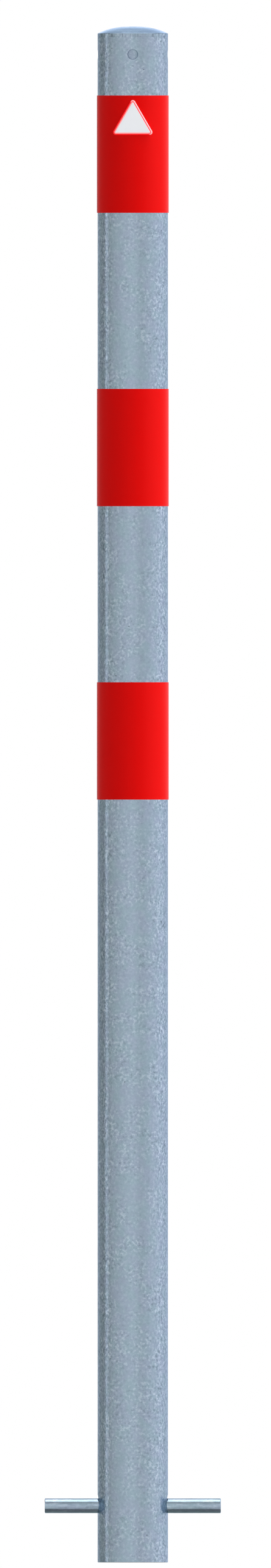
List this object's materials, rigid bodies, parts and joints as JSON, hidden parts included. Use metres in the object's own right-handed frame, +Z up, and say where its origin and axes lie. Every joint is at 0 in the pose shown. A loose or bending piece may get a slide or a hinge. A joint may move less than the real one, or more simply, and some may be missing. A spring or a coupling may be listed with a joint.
{
  "type": "barrier post",
  "caption": "Straight round steel post with a low domed cap and wrapped reflective bands, kept from turning or lifting in its concrete footing by a cross bar.",
  "frame": {"origin": "centre of the tube's cut end at the foot, on the post's axis", "axes": "+Z up along the post, X along the cross bar, -Y out of the front, which has the badge"},
  "size_m": [0.15, 0.0637, 1.3088],
  "materials": {
    "galvanised_tube": "hot-dip galvanised, mottled, semi-gloss",
    "galvanised_cap": "hot-dip galvanised, semi-gloss",
    "galvanised_bar": "hot-dip galvanised, mottled, semi-gloss",
    "red_film": "smooth retroreflective film",
    "badge_plastic": "smooth moulded plastic, pale face and red bevelled border"
  },
  "bodies": {
    "root": {"post_tube": "galvanised_tube", "end_cap": "galvanised_cap", "band_upper": "red_film", "band_middle": "red_film", "band_lower": "red_film", "badge": "badge_plastic", "anchor_bar": "galvanised_bar"}
  },
  "joints": []
}
